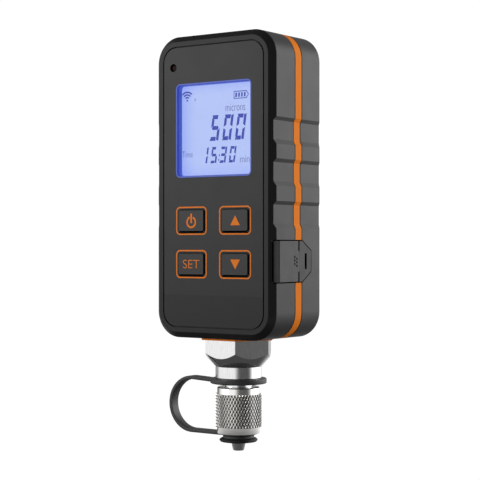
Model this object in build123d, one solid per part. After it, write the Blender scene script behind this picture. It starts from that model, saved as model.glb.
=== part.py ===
from build123d import *
from math import sqrt
import os

# Micron vacuum gauge: a hand-held case with a display and four keys on a hexagonal
# fitting, which ends in a knurled swivel nut with a tethered dust plug.
#
# The origin is on the fitting's axis at the middle of the swivel nut's thread.
# +Z runs up the axis into the case, the display faces -Y, and +X is the side with
# the charging port. The axis lies in the middle of the case's depth. All sizes are
# in millimetres.

# Case
case_width = 54.7
case_height = 114.5
case_depth = 33.8
case_corner = 10.0
case_chamfer = 2.2
case_edge = 0.4
wall = 2.2
front_wall = 2.6

# Orange band between the two shells
band_width = 4.1
band_lip = 1.45
band_lip_thickness = 1.0
band_lip_gap = 0.05
seam_gap = 0.12
seam_rebate = 0.35

# Finger grooves in both long sides, given by the height of their upper ramps
groove_heights = (50.6, 66.1, 81.4)
groove_depth = 0.8
groove_flat = 7.0
groove_upper_ramp = 1.3
groove_lower_ramp = 1.7

# Face plate, set in a pocket of the front shell with a dark groove around it
plate_margin = 4.5
plate_groove = 0.5
plate_thickness = 1.0

# Display window
window_width = 35.0
window_height = 35.6
window_corner = 2.0
window_offset = 0.2
window_centre = 78.45
display_depth = 3.0
bezel_rim = 0.5
bezel_ledge = 0.25
bezel_sink = 0.05
bezel_gap = 0.05
bezel_flange = 1.0
lens_sink = 0.25
lens_thickness = 0.9
lens_gap = 0.05

# Display module
glass_side_margin = 2.0
glass_end_margin = 2.7
glass_thickness = 1.8
backlight_thickness = 2.2
pin_count = 16
pin_pitch = 2.0
pin_size = 0.45

# Keys, in two rows of two
key_width = 12.2
key_height = 8.4
key_corner = 1.1
key_columns = (-9.8, 10.4)
key_rows = (28.0, 44.35)
key_gap = 0.12
key_proud = 0.35
key_edge = 0.3
key_travel = 0.5
key_flange = 0.8
key_flange_thickness = 1.0
key_flange_gap = 0.15
switch_free_play = 0.1
switch_plunger = 0.5
switch_plunger_radius = 1.7
switch_size = 6.0

# Status lamp
lamp_offset = -18.45
lamp_above_window = 6.3
lamp_radius = 1.45
lamp_gap = 0.08
lamp_sink = 0.55
lamp_rounding = 1.0

# Main circuit board, behind the display
board_side_gap = 5.85
board_bottom = 10.8
board_top_edge = 2.1
board_thickness = 1.6
board_notch_gap = 0.3
standoff_radius = 2.2
standoff_glass_gap = 0.85
low_standoff_offset = 17.0
low_standoff_height = 15.2
high_standoff_offset = 10.0
board_screw_radius = 0.95
board_screw_length = 4.0
board_screw_head = 1.9
board_screw_head_height = 1.2
screw_gap = 0.1

# Components on the back of the board: x, height over the case's bottom, width, length, thickness
chips = (
    (8.0, 52.0, 9.0, 9.0, 1.2),
    (14.5, 66.0, 5.0, 6.2, 1.5),
    (8.5, 38.5, 4.0, 4.0, 1.0),
    (4.0, 63.0, 3.0, 3.0, 1.6),
)
small_part_count = 6
small_part_pitch = 2.4
first_small_part = (2.0, 45.0, 1.2, 2.0, 0.8)
radio_carrier = (11.0, 86.0, 13.0, 20.0, 0.8)
radio_can_size = (11.0, 1.6, 13.0)
radio_can_drop = 2.5

# Charging socket on the back of the board, facing +X
port_height = 29.15
socket_width = 8.94
socket_thickness = 3.2
socket_length = 7.4
socket_sink = 1.0
socket_wall = 0.3
socket_tongue = 0.7
socket_hole_gap = 0.2
socket_rounding = 0.6
socket_back_wall = 1.0
socket_tongue_share = 0.75

# Port cover: a flap in front of the hinge line and its fixed anchor behind it
cover_height = 15.3
cover_front = 1.75
cover_hinge = 16.8
cover_straight = 19.4
cover_back = 25.35
cover_back_height = 7.9
cover_pocket = 1.2
cover_seat_gap = 0.1
cover_side_gap = 0.3
cover_lip_proud = 1.65
cover_hinge_proud = 0.3
cover_hinge_gap = 0.04
cover_edge = 0.25
slit_width = 0.6
slit_height = 3.7
nail_slot_from_front = 21.4
nail_slot_width = 1.4
nail_slot_height = 5.9
nail_slot_depth = 0.8
dimple_radius = 0.33
dimple_depth = 0.35
dimple_from_front = (14.95, 13.3)
dimple_pitch = 0.62
flap_boss_length = 0.7
flap_boss_gap = 0.3
cover_root = 0.2
anchor_post_radius = 1.2
anchor_post_spread = 2.2
anchor_post_from_front = 21.7
anchor_post_gap = 0.05

# Case screws, driven from the back into bosses in the corners
boss_radius = 3.4
boss_bite = 0.3
case_screw_radius = 1.25
case_screw_length = 16.0
case_screw_head = 2.4
case_screw_head_height = 1.6
case_screw_sink = 3.0
case_screw_head_gap = 0.3
cross_slot_width = 0.6
cross_slot_depth = 0.9

# Battery: one cylindrical cell in an open tray on the back shell
cell_radius = 9.2
cell_length = 65.0
cell_offset = -10.5
cell_bottom = 34.3
cell_edge = 0.6
tray_wall = 1.0
tray_floor = 0.8
tray_gap = 0.2
tray_height = 10.0
contact_thickness = 0.5
contact_width = 6.0

# Swivel nut, 7/16-20 inside
thread_radius = 4.93
thread_length = 6.5
nut_length = 18.45
nut_mouth_depth = 3.0
nut_mouth_ease = 0.67
nut_band_radius = 8.2
nut_knurl_radius = 8.85
nut_top_band = 2.55
nut_low_band = 2.45
nut_end_taper = 0.85
nut_end_wall = 0.4
nut_edge = 0.3
swivel_gap = 0.08

# Fitting, from the nut upwards
neck_over_thread = 0.32
neck_visible = 3.35
neck_inside = 4.2
tail_under_thread = 0.33
tail_gap = 0.3
collar_radius = 8.85
collar_length = 4.5
cone_length = 5.5
hex_flats = 24.0
hex_length = 4.9
pad_flats = 26.6
pad_thickness = 0.75
bore_radius = 2.5
stub_radius = 7.0
stub_length = 16.0
stub_gap = 0.15
washer_reach = 2.5
washer_thickness = 0.5
locknut_wall = 1.5
locknut_thickness = 3.0

# Nut retaining ring, in facing grooves of the neck and the nut
ring_wire = 0.45
ring_below_top = 2.2
ring_neck_gap = 0.04
ring_nut_gap = 0.1

# Flare gasket and the pin that opens the valve core
gasket_thickness = 0.8
gasket_bore = 1.9
depressor_pin = 0.9
depressor_length = 3.4
depressor_rim = 0.6
depressor_thickness = 1.0
depressor_gap = 0.03
depressor_arm_width = 0.6

# Pressure sensor in the top of the fitting
sensor_radius = 5.0
sensor_gap = 0.06
sensor_height = 6.0
sensor_edge = 0.4
sensor_seal_inset = 1.4
sensor_seal_wire = 0.75
retainer_wall = 0.85
retainer_lip = 1.2
retainer_skirt = 4.5
retainer_board_gap = 0.4
sensor_pin_radius = 0.3
sensor_pin_circle = 2.0
sensor_pin_margin = 1.5
sensor_pin_length = 2.5
sensor_board_radius = 6.5
sensor_board_thickness = 1.2
flex_width = 6.0
flex_thickness = 0.3
flex_bend = 1.0
flex_rise = 8.0

# Tether strap
strap_ring_radius = 10.8
strap_ring_thickness = 2.0
strap_ring_gap = 0.15
strap_width = 4.2
strap_thickness = 1.4
strap_bend_offset = 21.1
strap_drop = 0.8
strap_rise = 0.65
strap_eye_radius = 6.0
strap_eye_thickness = 1.1
strap_eye_gap = 0.08
strap_run_gap = 1.0

# Dust plug, its stem loose in the nut's mouth and a metal stud through its middle
plug_stem_gap = 0.4
plug_stem_height = 2.3
plug_neck_radius = 3.0
plug_disc_radius = 7.3
plug_disc_thickness = 1.2
plug_edge = 0.42
plug_gap = 0.03
stud_radius = 2.9
stud_tip_radius = 2.15
stud_length = 3.45
stud_edge = 0.25
stud_shank_radius = 1.4
stud_shank_length = 3.6

# Levels along the axis
nut_mouth = -(thread_length / 2 + nut_mouth_depth)
nut_top = nut_mouth + nut_length
collar_bottom = nut_top + neck_visible
cone_bottom = collar_bottom + collar_length
hex_bottom = cone_bottom + cone_length
pad_bottom = hex_bottom + hex_length
case_bottom = pad_bottom + pad_thickness
case_middle = case_bottom + case_height / 2

# Levels through the depth
front = -case_depth / 2
back = case_depth / 2
front_inside = front + front_wall
back_inside = back - wall
front_shell_end = -(band_width / 2 + seam_gap)
back_shell_start = band_width / 2 + seam_gap
glass_front = front + display_depth
board_front = glass_front + glass_thickness + backlight_thickness
board_back = board_front + board_thickness

side = case_width / 2
port_level = case_bottom + port_height
pocket_floor = side - cover_pocket
hinge_x = side + cover_hinge_proud
hinge_y = front + cover_hinge
plate_width = case_width - 2 * plate_margin
plate_height = case_height - 2 * plate_margin
plate_corner = case_corner - plate_margin

# Display, board and lamp
glass_width = window_width + 2 * glass_side_margin
glass_height = window_height + 2 * glass_end_margin
lamp_height = window_centre + window_height / 2 + lamp_above_window
high_standoff_height = window_centre + glass_height / 2 + standoff_glass_gap + standoff_radius
board_top = high_standoff_height + board_top_edge
board_width = case_width - 2 * board_side_gap

# Radii that follow the thread, the stub and the sensor
nut_mouth_radius = thread_radius + nut_mouth_ease
nut_end_radius = nut_mouth_radius + nut_end_wall
neck_radius = thread_radius + neck_over_thread
tail_radius = thread_radius - tail_under_thread
plug_stem_radius = nut_mouth_radius - plug_stem_gap
strap_run_end = nut_end_radius + strap_run_gap
washer_radius = stub_radius + washer_reach
locknut_flats = 2 * (stub_radius + locknut_wall)
sensor_seal_radius = sensor_radius - sensor_seal_inset


def plate(width, height, corner, start, end, x=0.0, z=0.0):
    """Rounded rectangle facing the front, filled from the depth start to the depth end."""
    outline = Pos(x, z) * RectangleRounded(width, height, corner)
    return extrude(Plane.XZ.offset(-start) * outline, amount=start - end)


def block(low, high):
    """Plain box between two corners."""
    size = [b - a for a, b in zip(low, high)]
    middle = [(a + b) / 2 for a, b in zip(low, high)]
    return Pos(*middle) * Box(*size)


def rod(radius, start, end, x, z):
    """Cylinder along the depth."""
    return extrude(Plane.XZ.offset(-start) * Pos(x, z) * Circle(radius), amount=start - end)


def disc(radius, low, high, x=0.0, y=0.0):
    """Cylinder along the height."""
    return extrude(Plane.XY.offset(low) * Pos(x, y) * Circle(radius), amount=high - low)


def turned(points):
    """Solid of revolution about the fitting's axis from (radius, height) points."""
    return revolve(Plane.XZ * make_face(Polyline(*points, close=True)), Axis.Z)


def hexagon(flats, low, high):
    """Hexagonal prism with corners on the X axis."""
    outline = RegularPolygon(flats / 2, 6, major_radius=False)
    return extrude(Plane.XY.offset(low) * outline, amount=high - low)


def torus(ring_radius, wire_radius, level):
    """Ring of round wire about the fitting's axis."""
    return revolve(Plane.XZ * Pos(ring_radius, level) * Circle(wire_radius), Axis.Z)


def groove_cutter(x, direction, level):
    """Outline of one finger groove in a side at x, its upper ramp centred on the level."""
    outer = x + direction
    inner = x - direction * groove_depth
    top = level + groove_upper_ramp / 2
    flat_top = level - groove_upper_ramp / 2
    flat_bottom = flat_top - groove_flat
    bottom = flat_bottom - groove_lower_ramp
    points = ((outer, top), (x, top), (inner, flat_top), (inner, flat_bottom), (x, bottom), (outer, bottom))
    return make_face(Polyline(*points, close=True))


def case_outline(inset):
    """Case outline seen from the front with its finger grooves, moved inwards by the inset."""
    width = case_width - 2 * inset
    outline = RectangleRounded(width, case_height - 2 * inset, case_corner - inset)
    for direction in (-1, 1):
        for height in groove_heights:
            level = height - case_height / 2
            outline -= groove_cutter(direction * width / 2, direction, level)
    return Pos(0, case_middle) * outline


def case_prism(inset, start, end):
    return extrude(Plane.XZ.offset(-start) * case_outline(inset), amount=start - end)


def cavity(inset, start, end):
    width = case_width - 2 * inset
    height = case_height - 2 * inset
    return plate(width, height, case_corner - inset, start, end, 0, case_middle)


def case_block():
    """Whole case with its front and back edges chamfered, before the grooves are cut."""
    whole = cavity(0, front, back)
    rims = whole.faces().sort_by(Axis.Y)
    whole = chamfer(rims[0].edges() + rims[-1].edges(), case_chamfer)
    corners = [e for e in whole.edges() if e.bounding_box().size.Y < 0.01]
    return fillet(corners, case_edge)


def standoff_places():
    """Column and height of the board's standoffs."""
    low = [(a * low_standoff_offset, low_standoff_height) for a in (-1, 1)]
    return low + [(a * high_standoff_offset, high_standoff_height) for a in (-1, 1)]


def boss_places():
    """Corner bosses, each bitten a little into the inner wall."""
    shift = (case_corner - wall - boss_radius + boss_bite) / sqrt(2)
    reach_x = side - case_corner + shift
    reach_z = case_height / 2 - case_corner + shift
    return [(a * reach_x, case_middle + b * reach_z) for a in (-1, 1) for b in (-1, 1)]


def cover_outline(gap, start):
    """Outline of the port cover on the case's side, from the depth start to its back end."""
    half = cover_height / 2 + gap
    half_back = cover_back_height / 2 + gap / 2
    straight = front + cover_straight
    end = front + cover_back + gap
    points = ((start, -half), (straight, -half), (end, -half_back))
    points += ((end, half_back), (straight, half), (start, half))
    return Pos(0, port_level) * make_face(Polyline(*points, close=True))


def cover_prism(gap, start, low, high):
    """The cover's outline filled from one distance off the axis to another."""
    return extrude(Plane.YZ.offset(low) * cover_outline(gap, start), amount=high - low)


def port_pocket():
    return cover_prism(cover_side_gap, front - 1, pocket_floor, side + 1)


def fitting_hole():
    return disc(stub_radius + stub_gap, case_bottom - 1, case_bottom + wall + 1)


def key_places():
    """Name, column and row of each key."""
    left, right = key_columns
    low, high = key_rows
    top_row = (("power_key", left, high), ("up_key", right, high))
    low_row = (("set_key", left, low), ("down_key", right, low))
    return top_row + low_row


def key_hole(x, row, start, end):
    width = key_width + 2 * key_gap
    height = key_height + 2 * key_gap
    return plate(width, height, key_corner + key_gap, start, end, x, case_bottom + row)


def window_hole(start, end):
    level = case_bottom + window_centre
    return plate(window_width, window_height, window_corner, start, end, window_offset, level)


def seam_rebate_ring(start, end):
    return case_prism(0, start, end) - case_prism(seam_rebate, start, end)


def front_shell():
    shell = case_block() & case_prism(0, front, front_shell_end)
    shell -= cavity(wall, front_inside, front_shell_end)
    shell -= seam_rebate_ring(front_shell_end - seam_rebate, front_shell_end)
    pocket_width = plate_width + 2 * plate_groove
    pocket_height = plate_height + 2 * plate_groove
    pocket_corner = plate_corner + plate_groove
    floor = front + plate_thickness
    shell -= plate(pocket_width, pocket_height, pocket_corner, front, floor, 0, case_middle)
    for x, z in boss_places():
        shell += rod(boss_radius, front_inside, 0, x, z) & cavity(wall - boss_bite, front_inside, 0)
    for x, height in standoff_places():
        shell += rod(standoff_radius, front_inside, board_front, x, case_bottom + height)
    for x, z in boss_places():
        depth = case_screw_length - (back - case_screw_sink)
        shell -= rod(case_screw_radius + screw_gap / 2, -depth - 1, 0, x, z)
    for x, height in standoff_places():
        z = case_bottom + height
        depth = board_screw_length - board_thickness + 0.5
        shell -= rod(board_screw_radius + screw_gap / 2, board_front - depth, board_front, x, z)
    shell -= window_hole(front, front_inside)
    for _, x, row in key_places():
        shell -= key_hole(x, row, front, front_inside)
    shell -= rod(lamp_radius + lamp_gap, front, board_front, lamp_offset, case_bottom + lamp_height)
    shell -= port_pocket()
    shell -= socket_hole()
    shell -= fitting_hole()
    return shell


def socket_middle():
    return board_back + socket_thickness / 2


def socket_hole():
    """Slot through the side wall in front of the socket."""
    half_width = socket_width / 2 + socket_hole_gap
    half_thickness = socket_thickness / 2 + socket_hole_gap
    low = (side - wall - 1, socket_middle() - half_thickness, port_level - half_width)
    high = (side, socket_middle() + half_thickness, port_level + half_width)
    return block(low, high)


def back_shell():
    shell = case_block() & case_prism(0, back_shell_start, back)
    shell -= cavity(wall, back_shell_start, back_inside)
    shell -= seam_rebate_ring(back_shell_start, back_shell_start + seam_rebate)
    for x, z in boss_places():
        shell += rod(boss_radius, 0, back_inside, x, z) & cavity(wall - boss_bite, 0, back_inside)
    for x, z in boss_places():
        shell -= rod(case_screw_radius + screw_gap, 0, back, x, z)
        shell -= rod(case_screw_head + case_screw_head_gap, back - case_screw_sink, back, x, z)
    shell -= port_pocket()
    for z in anchor_post_levels():
        shell -= anchor_post(anchor_post_radius + anchor_post_gap, z)
    shell -= fitting_hole()
    return shell


def seam_band():
    half = band_width / 2
    lip = half + band_lip
    outside = wall + band_lip_gap
    ring = case_prism(0, -half, half) - cavity(outside, -half, half)
    ring += cavity(outside, -lip, lip) - cavity(outside + band_lip_thickness, -lip, lip)
    for x, z in boss_places():
        ring -= rod(boss_radius + band_lip_gap, -lip, lip, x, z)
    ring -= port_pocket()
    ring -= fitting_hole()
    nut_reach = max(washer_radius, locknut_flats / sqrt(3)) + stub_gap
    ring -= disc(nut_reach, case_bottom + wall, case_bottom + outside + band_lip_thickness + 1)
    return ring


def case_screws():
    """Four countersunk screws, heads at the bottom of their holes in the back."""
    seat = back - case_screw_sink
    group = []
    for x, z in boss_places():
        screw = rod(case_screw_radius, seat - case_screw_length, seat, x, z)
        screw += rod(case_screw_head, seat, seat + case_screw_head_height, x, z)
        group.append(screw - cross_slot(x, z, seat + case_screw_head_height, case_screw_head))
    return Compound(children=group)


def cross_slot(x, z, top, head):
    """Cross recess in a screw head that faces +Y."""
    reach = head * 0.6
    half = cross_slot_width / 2
    level = top - cross_slot_depth
    return block((x - reach, level, z - half), (x + reach, top, z + half)) + block(
        (x - half, level, z - reach), (x + half, top, z + reach)
    )


def face_plate():
    cover = plate(plate_width, plate_height, plate_corner, front, front + plate_thickness, 0, case_middle)
    cover -= window_hole(front, front_inside)
    for _, x, row in key_places():
        cover -= key_hole(x, row, front, front_inside)
    cover -= rod(lamp_radius + lamp_gap, front, front_inside, lamp_offset, case_bottom + lamp_height)
    return cover


def window_piece(inset, start, end):
    """Rounded plate in the display window, smaller by the inset all round."""
    corner = max(window_corner - inset, 0.3)
    width = window_width - 2 * inset
    height = window_height - 2 * inset
    return plate(width, height, corner, start, end, window_offset, case_bottom + window_centre)


def display_bezel():
    start = front + bezel_sink
    ledge = front + lens_sink + lens_thickness
    tube = window_piece(bezel_gap, start, glass_front)
    tube += window_piece(-bezel_flange, front_inside, glass_front)
    tube -= window_piece(bezel_rim, start, ledge)
    tube -= window_piece(bezel_rim + bezel_ledge, ledge, glass_front)
    return tube


def window_lens():
    start = front + lens_sink
    return window_piece(bezel_rim + lens_gap, start, start + lens_thickness)


def display_plate(start, end):
    low_z = case_bottom + window_centre - glass_height / 2
    low = (window_offset - glass_width / 2, start, low_z)
    high = (window_offset + glass_width / 2, end, low_z + glass_height)
    return block(low, high)


def display_pins():
    """Row of pins from the bottom edge of the glass to the board."""
    edge = case_bottom + window_centre - glass_height / 2
    first = window_offset - pin_pitch * (pin_count - 1) / 2
    half = pin_size / 2
    group = []
    for number in range(pin_count):
        x = first + number * pin_pitch
        low = (x - half, glass_front + glass_thickness / 3, edge - pin_size)
        group.append(block(low, (x + half, board_front, edge)))
    return Compound(children=group)


def status_lamp():
    z = case_bottom + lamp_height
    tip = front + lamp_sink
    body = rod(lamp_radius, tip, board_front, lamp_offset, z)
    return fillet(body.faces().sort_by(Axis.Y)[0].edges(), lamp_rounding)


def key_cap(x, row):
    """Key with a flange behind the front wall that keeps it in its hole."""
    z = case_bottom + row
    flange_front = front_inside + key_flange_gap
    cap = plate(key_width, key_height, key_corner, front - key_proud, flange_front, x, z)
    cap = chamfer(cap.faces().sort_by(Axis.Y)[0].edges(), key_edge)
    width = key_width + 2 * key_flange
    height = key_height + 2 * key_flange
    return cap + plate(width, height, key_corner, flange_front, key_back(), x, z)


def key_back():
    return front_inside + key_flange_gap + key_flange_thickness


def key_switches():
    """One small push switch on the board behind each key."""
    tip = key_back() + key_travel + switch_free_play
    body_front = tip + switch_plunger
    half = switch_size / 2
    group = []
    for _, x, row in key_places():
        z = case_bottom + row
        body = block((x - half, body_front, z - half), (x + half, board_front, z + half))
        group.append(body + rod(switch_plunger_radius, tip, body_front, x, z))
    return Compound(children=group)


def main_board():
    low = (-board_width / 2, board_front, case_bottom + board_bottom)
    high = (board_width / 2, board_back, case_bottom + board_top)
    board = block(low, high)
    for x, height in standoff_places():
        board -= rod(board_screw_radius + screw_gap, board_front, board_back, x, case_bottom + height)
    for x, z in boss_places():
        board -= rod(boss_radius + board_notch_gap, board_front, board_back, x, z)
    notch_radius = stub_radius + retainer_wall + retainer_board_gap
    notch_top = sensor_top() + retainer_lip + retainer_board_gap
    return board - disc(notch_radius, case_bottom, notch_top)


def board_screws():
    group = []
    for x, height in standoff_places():
        z = case_bottom + height
        top = board_back + board_screw_head_height
        screw = rod(board_screw_radius, board_back - board_screw_length, board_back, x, z)
        screw += rod(board_screw_head, board_back, top, x, z)
        group.append(screw - cross_slot(x, z, top, board_screw_head))
    return Compound(children=group)


def on_board(x, height, width, length, thickness):
    """Component on the back of the board, centred at x and at a height over the case's bottom."""
    z = case_bottom + height
    low = (x - width / 2, board_back, z - length / 2)
    return block(low, (x + width / 2, board_back + thickness, z + length / 2))


def board_chips():
    """Processor, converter, charger, memory and a row of small parts."""
    group = [on_board(*chip) for chip in chips]
    x, *rest = first_small_part
    for number in range(small_part_count):
        group.append(on_board(x + number * small_part_pitch, *rest))
    return Compound(children=group)


def radio_module():
    """Radio board under its screening can, with the bare aerial end above."""
    x, height, _, _, thickness = radio_carrier
    width, depth, length = radio_can_size
    place = (x, board_back + thickness + depth / 2, case_bottom + height - radio_can_drop)
    return on_board(*radio_carrier) + Pos(*place) * Box(width, depth, length)


def charging_socket():
    """Socket shell along X with its mouth just inside the case wall, and the tongue in it."""
    mouth = pocket_floor - socket_sink
    middle = socket_middle()
    half_width = socket_width / 2
    half_thick = socket_thickness / 2
    corner = half_thick * socket_rounding
    outline = RectangleRounded(socket_thickness, socket_width, corner)
    hollow = offset(outline, -socket_wall)
    start = mouth - socket_length
    place = Plane.YZ.offset(start) * Pos(middle, port_level)
    shell = extrude(place * outline, amount=socket_length)
    inner = Plane.YZ.offset(start + socket_back_wall) * Pos(middle, port_level)
    shell -= extrude(inner * hollow, amount=socket_length)
    tongue_half = half_width * socket_tongue_share
    tongue_low = (start + socket_back_wall, middle - socket_tongue / 2, port_level - tongue_half)
    tongue_high = (mouth - socket_back_wall, middle + socket_tongue / 2, port_level + tongue_half)
    return shell + block(tongue_low, tongue_high)


def cover_depth_outline(start, end, inner):
    """Cover seen from above: flat inside, its outside rising from the hinge to the lip."""
    lip = side + cover_lip_proud
    slope = (cover_lip_proud - cover_hinge_proud) / (cover_hinge - cover_front)
    end_x = hinge_x + slope * (hinge_y - end)
    points = ((inner, start), (lip, start), (end_x, end), (inner, end))
    return make_face(Polyline(*points, close=True))


def port_flap():
    start = front + cover_front
    end = hinge_y - cover_hinge_gap
    inner = pocket_floor + cover_seat_gap
    low = port_level - cover_height / 2
    flap = extrude(Plane.XY.offset(low) * cover_depth_outline(start, end, inner), amount=cover_height)
    outer = flap.faces().sort_by(Axis.X)[-1]
    lip_edges = [e for e in outer.edges() if e.center().Y < hinge_y - 1]
    flap = fillet(lip_edges, cover_edge)
    for direction in (-1, 1):
        level = port_level + direction * (cover_height - slit_height) / 2
        half = slit_height / 2
        low = (inner - 1, end - slit_width, level - half)
        flap -= block(low, (side + 5, end + 1, level + half))
    for number in range(6):
        depth = front + dimple_from_front[number % 2]
        level = port_level + (number - 2.5) * dimple_pitch
        flap -= dimple(depth, level)
    return flap + flap_boss(inner)


def dimple(y, level):
    """Small round hole in the flap's sloping outside."""
    slope = (cover_lip_proud - cover_hinge_proud) / (cover_hinge - cover_front)
    surface = hinge_x + slope * (hinge_y - y)
    low = surface - dimple_depth
    return extrude(Plane.YZ.offset(low) * Pos(y, level) * Circle(dimple_radius), amount=dimple_depth + 1)


def flap_boss(inner):
    """Low plug on the inside of the flap that closes the slot in the wall."""
    half_width = socket_width / 2 + socket_hole_gap - flap_boss_gap
    half_thickness = socket_thickness / 2 + socket_hole_gap - flap_boss_gap
    low = (inner - flap_boss_length, socket_middle() - half_thickness, port_level - half_width)
    return block(low, (inner + cover_root, socket_middle() + half_thickness, port_level + half_width))


def anchor_post_levels():
    return (port_level - anchor_post_spread, port_level + anchor_post_spread)


def anchor_post(radius, level):
    """Post through the side wall, behind the hinge line."""
    y = front + anchor_post_from_front
    low = side - wall
    return extrude(Plane.YZ.offset(low) * Pos(y, level) * Circle(radius), amount=cover_pocket + wall)


def port_cover_anchor():
    inner = pocket_floor
    anchor = cover_prism(0, hinge_y, inner, hinge_x)
    for level in anchor_post_levels():
        post_low = (side - wall, hinge_y, level - cover_height)
        post_high = (inner + cover_root, back, level + cover_height)
        post_end = block(post_low, post_high)
        anchor += anchor_post(anchor_post_radius, level) & post_end
    slot_middle = front + nail_slot_from_front
    half_height = nail_slot_height / 2
    low = (hinge_x - nail_slot_depth, slot_middle - nail_slot_width / 2, port_level - half_height)
    high = (hinge_x + 1, slot_middle + nail_slot_width / 2, port_level + half_height)
    return anchor - block(low, high)


def cell_middle():
    return back_inside - tray_floor - cell_radius


def battery_cell():
    low = case_bottom + cell_bottom
    cell = disc(cell_radius, low, low + cell_length, cell_offset, cell_middle())
    return fillet(cell.edges().filter_by(GeomType.CIRCLE), cell_edge)


def battery_tray():
    """Open tray on the back shell, with an end wall behind each contact."""
    half = cell_radius + tray_gap
    low_z = case_bottom + cell_bottom - contact_thickness
    high_z = low_z + cell_length + 2 * contact_thickness
    low = (cell_offset - half - tray_wall, back_inside - tray_height, low_z - tray_wall)
    high = (cell_offset + half + tray_wall, back_inside, high_z + tray_wall)
    hollow_low = (cell_offset - half, back_inside - tray_height, low_z)
    hollow_high = (cell_offset + half, back_inside - tray_floor, high_z)
    return block(low, high) - block(hollow_low, hollow_high)


def battery_contacts():
    """Metal strip at each end of the cell, running forward to the board."""
    low = case_bottom + cell_bottom - contact_thickness
    half = contact_width / 2
    group = []
    for start in (low, low + contact_thickness + cell_length):
        corner = (cell_offset - half, board_back, start)
        opposite = (cell_offset + half, cell_middle() + half, start + contact_thickness)
        group.append(block(corner, opposite))
    return Compound(children=group)


def fitting_bore_top():
    """Height of the shoulder that carries the sensor's seal."""
    return case_bottom + stub_length - sensor_height + retainer_lip - 2 * sensor_seal_wire


def fitting_body():
    """Turned and milled fitting: tail, neck, collar, cone, hexagon and threaded stub."""
    tail_bottom = thread_length / 2 + tail_gap + gasket_thickness
    neck_bottom = nut_top - neck_inside
    hex_corner = hex_flats / sqrt(3)
    stub_top = case_bottom + stub_length
    points = (
        (bore_radius, tail_bottom),
        (tail_radius, tail_bottom),
        (tail_radius, neck_bottom - (neck_radius - tail_radius)),
        (neck_radius, neck_bottom),
        (neck_radius, collar_bottom),
        (collar_radius - nut_edge, collar_bottom),
        (collar_radius, collar_bottom + nut_edge),
        (collar_radius, cone_bottom),
        (hex_corner, hex_bottom),
        (hex_corner, pad_bottom),
        (stub_radius, pad_bottom),
        (stub_radius, stub_top),
        (sensor_radius + sensor_gap, stub_top),
        (sensor_radius + sensor_gap, fitting_bore_top()),
        (bore_radius, fitting_bore_top()),
    )
    prism = hexagon(hex_flats, cone_bottom, pad_bottom)
    below = disc(hex_corner, tail_bottom, cone_bottom)
    above = disc(hex_corner, pad_bottom, stub_top)
    body = turned(points) & (below + prism + above)
    return body - torus(neck_radius, ring_wire + ring_neck_gap, nut_top - ring_below_top)


def fitting_pad():
    pad = hexagon(pad_flats, pad_bottom, case_bottom)
    return pad - disc(stub_radius + stub_gap, pad_bottom, case_bottom)


def fitting_washer():
    low = case_bottom + wall
    return disc(washer_radius, low, low + washer_thickness) - disc(
        stub_radius + stub_gap, low, low + washer_thickness
    )


def fitting_locknut():
    low = case_bottom + wall + washer_thickness
    high = low + locknut_thickness
    return hexagon(locknut_flats, low, high) - disc(stub_radius + swivel_gap / 2, low, high)


def sensor_can():
    """Sealed metal can with four pins on top."""
    low = fitting_bore_top() + 2 * sensor_seal_wire
    high = low + sensor_height
    can = disc(sensor_radius, low, high)
    can = chamfer(can.faces().sort_by(Axis.Z)[0].edges(), sensor_edge)
    for a, b in ((-1, -1), (-1, 1), (1, -1), (1, 1)):
        reach = sensor_pin_circle / sqrt(2)
        can += disc(sensor_pin_radius, high, high + sensor_pin_length, a * reach, b * reach)
    return can


def sensor_top():
    return fitting_bore_top() + 2 * sensor_seal_wire + sensor_height


def sensor_seal():
    return torus(sensor_seal_radius, sensor_seal_wire, fitting_bore_top() + sensor_seal_wire)


def sensor_retainer():
    """Threaded cap ring that holds the sensor down on its seal."""
    top = sensor_top()
    inner = stub_radius + swivel_gap / 2
    outer = stub_radius + retainer_wall
    lip_inner = sensor_pin_circle + sensor_pin_margin
    skirt_bottom = top - retainer_lip - retainer_skirt
    cap = disc(outer, skirt_bottom, top + retainer_lip) - disc(inner, skirt_bottom, top)
    return cap - disc(lip_inner, top, top + retainer_lip)


def sensor_board():
    low = sensor_top() + sensor_pin_length
    return disc(sensor_board_radius, low, low + sensor_board_thickness)


def sensor_flex():
    """Flat flexible lead from the sensor's board up the back of the main board."""
    level = sensor_top() + sensor_pin_length + sensor_board_thickness + flex_thickness / 2
    depth = board_back + flex_thickness / 2
    route = FilletPolyline((0, level), (depth, level), (depth, level + flex_rise), radius=flex_bend)
    strip = Plane.YZ * trace(route, flex_thickness)
    return extrude(strip, amount=flex_width / 2, both=True)


def swivel_nut():
    """Knurled nut turned to its outline, with a plain bore where its fine thread is cut."""
    knurl_low = nut_mouth + nut_end_taper + nut_low_band
    knurl_high = nut_top - nut_top_band
    neck_bore = neck_radius + swivel_gap
    points = (
        (nut_mouth_radius, nut_mouth),
        (nut_end_radius, nut_mouth),
        (nut_band_radius, nut_mouth + nut_end_taper),
        (nut_band_radius, knurl_low),
        (nut_knurl_radius - nut_edge, knurl_low),
        (nut_knurl_radius, knurl_low + nut_edge),
        (nut_knurl_radius, knurl_high - nut_edge),
        (nut_knurl_radius - nut_edge, knurl_high),
        (nut_band_radius, knurl_high),
        (nut_band_radius, nut_top - nut_edge),
        (nut_band_radius - nut_edge, nut_top),
        (neck_bore, nut_top),
        (neck_bore, thread_length / 2),
        (thread_radius, thread_length / 2),
        (thread_radius, -thread_length / 2),
        (nut_mouth_radius, -thread_length / 2),
    )
    return turned(points) - torus(neck_radius, ring_wire + ring_nut_gap, nut_top - ring_below_top)


def nut_retaining_ring():
    return torus(neck_radius, ring_wire, nut_top - ring_below_top)


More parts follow.
